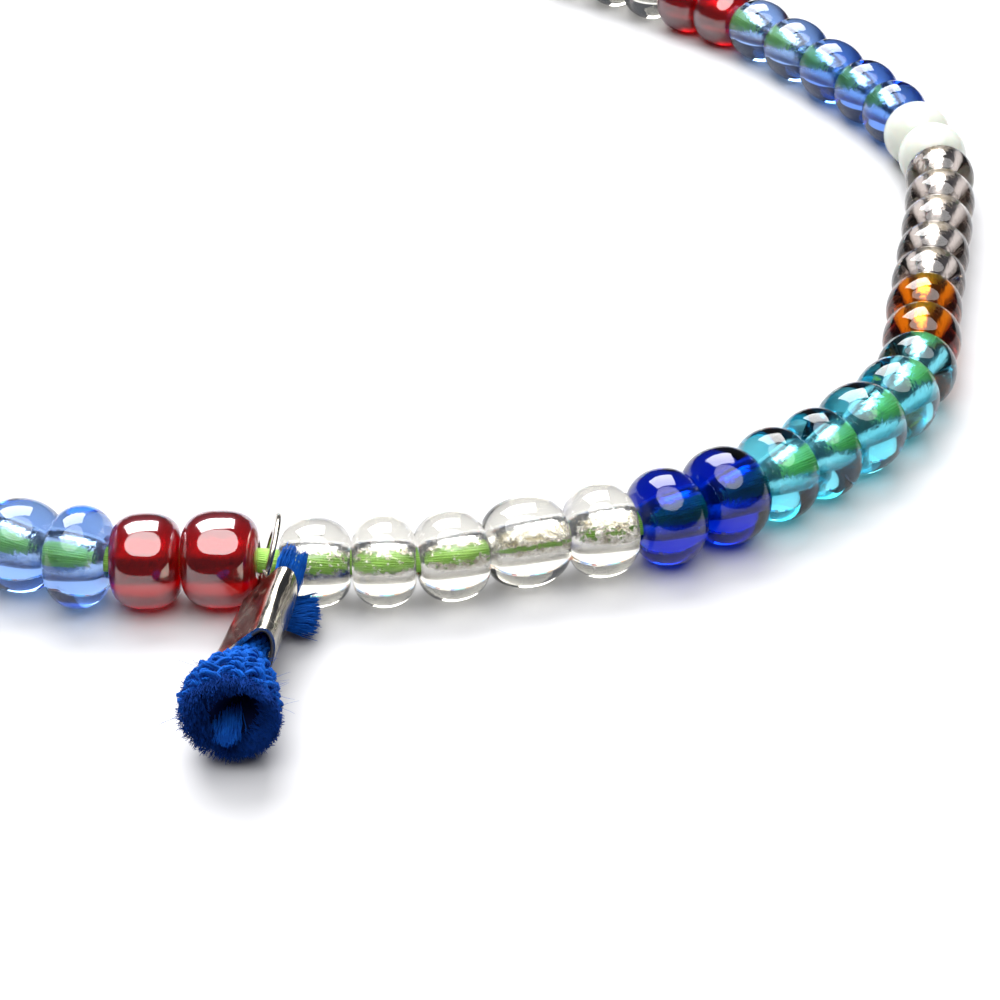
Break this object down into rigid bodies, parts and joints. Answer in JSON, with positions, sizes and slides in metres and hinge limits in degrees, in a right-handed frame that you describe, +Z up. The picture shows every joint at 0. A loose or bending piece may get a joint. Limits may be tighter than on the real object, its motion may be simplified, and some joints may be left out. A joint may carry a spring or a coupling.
{
  "type": "beaded anklet",
  "caption": "Closed loop anklet of coloured glass seed beads on a stringing cord, with a small folded metal cord end and a frayed blue yarn tail.",
  "frame": {"origin": "middle of the whole object's box, on the surface that the anklet lies on", "axes": "+Z up from that surface, +Y across the loop away from the yarn tail, +X to the right seen from the tail"},
  "size_m": [0.0786, 0.0892, 0.0046],
  "materials": {
    "sky_glass": "polished, transparent light blue",
    "ruby_glass": "polished with a lustre, transparent red",
    "clear_glass": "polished, colourless with a flaked silver lining",
    "cobalt_glass": "polished, transparent deep blue",
    "aqua_glass": "polished, transparent teal",
    "amber_glass": "polished, transparent amber",
    "smoke_glass": "polished, smoky with a silver lining",
    "white_glass": "polished, opaque greenish white",
    "mixed_glass": "polished, runs of the same colours as the other beads",
    "lime_cord": "matte fibres",
    "bright_nickel": "bright plated sheet",
    "blue_yarn": "matte braided and frayed fibres"
  },
  "bodies": {
    "root": {"bead_01": "sky_glass", "bead_02": "sky_glass", "bead_03": "ruby_glass", "bead_04": "ruby_glass", "bead_05": "clear_glass", "bead_06": "clear_glass", "bead_07": "clear_glass", "bead_08": "clear_glass", "bead_09": "clear_glass", "bead_10": "cobalt_glass", "bead_11": "cobalt_glass", "bead_12": "aqua_glass", "bead_13": "aqua_glass", "bead_14": "aqua_glass", "bead_15": "aqua_glass", "bead_16": "aqua_glass", "bead_17": "amber_glass", "bead_18": "amber_glass", "bead_19": "smoke_glass", "bead_20": "smoke_glass", "bead_21": "smoke_glass", "bead_22": "smoke_glass", "bead_23": "smoke_glass", "bead_24": "white_glass", "bead_25": "white_glass", "bead_26": "sky_glass", "bead_27": "sky_glass", "bead_28": "sky_glass", "bead_29": "sky_glass", "bead_30": "sky_glass", "bead_31": "ruby_glass", "bead_32": "ruby_glass", "hidden_string": "mixed_glass", "stringing_cord": "lime_cord", "cord_end": "bright_nickel", "yarn_tail": "blue_yarn", "yarn_brush": "blue_yarn"}
  },
  "joints": []
}
